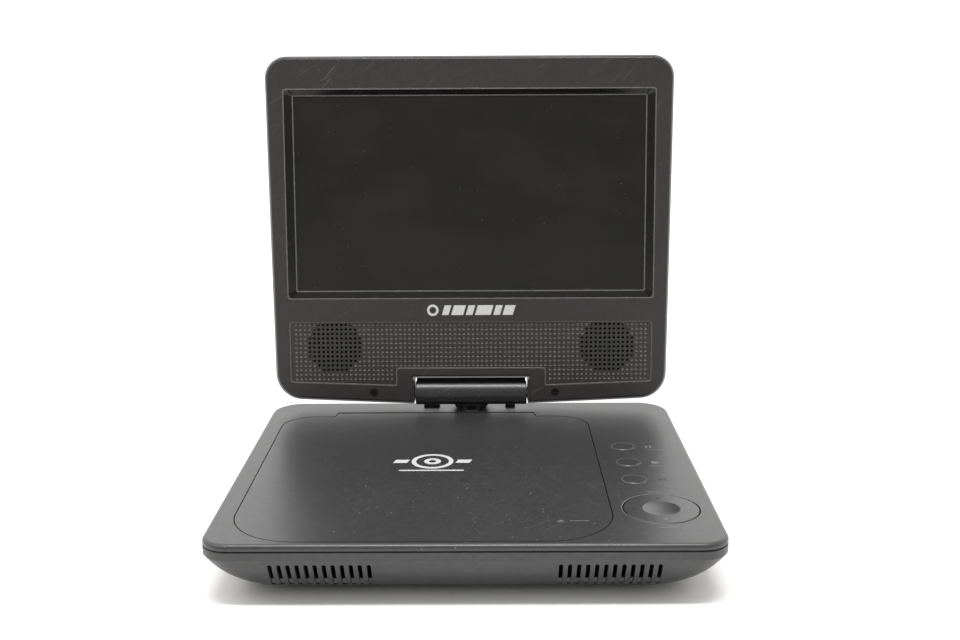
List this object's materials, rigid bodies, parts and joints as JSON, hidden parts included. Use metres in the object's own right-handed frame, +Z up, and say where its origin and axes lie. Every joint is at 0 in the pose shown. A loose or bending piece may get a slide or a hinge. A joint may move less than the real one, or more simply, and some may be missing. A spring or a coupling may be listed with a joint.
{
  "type": "portable dvd player",
  "caption": "Laptop-style portable disc player: flat base with flip-up disc door, keys and navigation pad, and a swivelling, tilting widescreen lid with speaker grille.",
  "frame": {"origin": "on the table surface under the centre of the outline, screen open at its rest angle", "axes": "+X to the user's right, +Y away from the user, +Z up"},
  "size_m": [0.18, 0.1732, 0.1813],
  "materials": {
    "satin_black": "satin",
    "dark_plastic": "matte",
    "silver_paint": "satin metallic paint",
    "foot_rubber": "matte",
    "steel": "bright",
    "black_steel": "black oxide",
    "zinc_sheet": "zinc plated",
    "cast_zinc": "cast",
    "clear_lens": "clear",
    "board_green": "solder mask",
    "chip_black": "moulded",
    "cell_wrap": "shrink wrap",
    "grey_trim": "satin",
    "screen_glass": "dark semi-gloss",
    "module_tin": "tinned",
    "panel_stack": "light guide and film stack",
    "cone_paper": "pressed paper"
  },
  "bodies": {
    "base": {"base_bottom_case": "satin_black", "rubber_feet": "foot_rubber", "case_screws": "steel", "base_top_cover": "satin_black", "disc_well_deck": "dark_plastic", "loader_chassis": "zinc_sheet", "damper_grommets": "foot_rubber", "sled_guide_rods": "steel", "spindle_motor": "steel", "board_standoffs": "dark_plastic", "main_board": "board_green", "board_components": "chip_black", "battery_cells": "cell_wrap", "battery_cradle": "dark_plastic", "key_board": "board_green", "tact_switches": "chip_black", "key_board_posts": "dark_plastic", "key_rings": "grey_trim", "nav_yokes": "dark_plastic", "socket_panel": "dark_plastic", "headphone_jacks": "chip_black", "av_jack": "chip_black", "dc_jack": "chip_black", "volume_control": "chip_black", "power_switch_body": "steel", "swivel_glide_pads": "dark_plastic"},
    "swivel": {"hinge_barrel": "satin_black", "swivel_post": "steel", "swivel_washer": "steel", "tilt_pins": "steel"},
    "screen": {"screen_back_cover": "silver_paint", "screen_bezel": "satin_black", "bezel_screws": "black_steel", "speaker_grille": "satin_black", "display_glass": "screen_glass", "lcd_module": "panel_stack", "lcd_driver_board": "board_green", "driver_components": "chip_black", "module_stays": "dark_plastic", "speaker_frames": "module_tin", "speaker_cones": "cone_paper", "speaker_magnets": "steel", "tilt_brackets": "steel"},
    "door": {"disc_door": "satin_black", "door_hinge_pins": "steel"},
    "latch": {"door_latch": "dark_plastic"},
    "spindle": {"disc_hub": "dark_plastic"},
    "drive_screw": {"lead_screw": "steel"},
    "sled": {"pickup_sled": "cast_zinc", "objective_lens": "clear_lens"},
    "button_one": {"key_1": "satin_black"},
    "button_two": {"key_2": "satin_black"},
    "button_three": {"key_3": "satin_black"},
    "nav_rocker": {"nav_gimbal": "dark_plastic"},
    "nav_cap": {"nav_pad": "satin_black"},
    "volume": {"volume_wheel": "dark_plastic"},
    "power": {"power_slider": "dark_plastic"}
  },
  "joints": [
    {"name": "screen_swivel", "type": "hinge", "parent": "base", "child": "swivel", "pos_m": [0.0006, 0.06512, 0.0233], "axis": [0, 0, 1], "range_deg": [-180, 0]},
    {"name": "screen_tilt", "type": "hinge", "parent": "swivel", "child": "screen", "pos_m": [0.0006, 0.06512, 0.031], "axis": [-1, 0, 0], "range_deg": [-95.5, 84.4]},
    {"name": "door_hinge", "type": "hinge", "parent": "base", "child": "door", "pos_m": [0, 0.05622, 0.0214], "axis": [-1, 0, 0], "range_deg": [0, 54]},
    {"name": "door_latch_slide", "type": "slide", "parent": "base", "child": "latch", "axis": [-1, 0, 0], "range_m": [0, 0.0012], "stiffness_N_per_m": 300},
    {"name": "disc_spin", "type": "hinge", "parent": "base", "child": "spindle", "pos_m": [-0.015, -0.01528, 0.017], "axis": [0, 0, 1], "continuous": true},
    {"name": "drive_screw_turn", "type": "hinge", "parent": "base", "child": "drive_screw", "pos_m": [0, 0.00672, 0.0106], "axis": [1, 0, 0], "range_deg": [-1562, 1562]},
    {"name": "sled_slide", "type": "slide", "parent": "base", "child": "sled", "axis": [1, 0, 0], "range_m": [-0.013, 0.013]},
    {"name": "button_one_press", "type": "slide", "parent": "base", "child": "button_one", "axis": [0, 0, -1], "range_m": [0, 0.0006], "stiffness_N_per_m": 400},
    {"name": "button_two_press", "type": "slide", "parent": "base", "child": "button_two", "axis": [0, 0, -1], "range_m": [0, 0.0006], "stiffness_N_per_m": 400},
    {"name": "button_three_press", "type": "slide", "parent": "base", "child": "button_three", "axis": [0, 0, -1], "range_m": [0, 0.0006], "stiffness_N_per_m": 400},
    {"name": "nav_rock_front_back", "type": "hinge", "parent": "base", "child": "nav_rocker", "pos_m": [0.0702, -0.05538, 0.0188], "axis": [1, 0, 0], "range_deg": [-2.2, 2.2], "stiffness_Nm_per_rad": 0.5},
    {"name": "nav_rock_left_right", "type": "hinge", "parent": "nav_rocker", "child": "nav_cap", "pos_m": [0.0702, -0.05538, 0.0188], "axis": [0, 1, 0], "range_deg": [-2.2, 2.2], "stiffness_Nm_per_rad": 0.5},
    {"name": "volume_turn", "type": "hinge", "parent": "base", "child": "volume", "pos_m": [0.0774, -0.00938, 0.0124], "axis": [0, 0, 1], "range_deg": [-150, 150]},
    {"name": "power_slide", "type": "slide", "parent": "base", "child": "power", "axis": [0, 1, 0], "range_m": [-0.0014, 0.0014]}
  ],
  "couplings": [
    {"joint": "drive_screw_turn", "follows": "sled_slide", "rad_per_m": 2094.4}
  ]
}
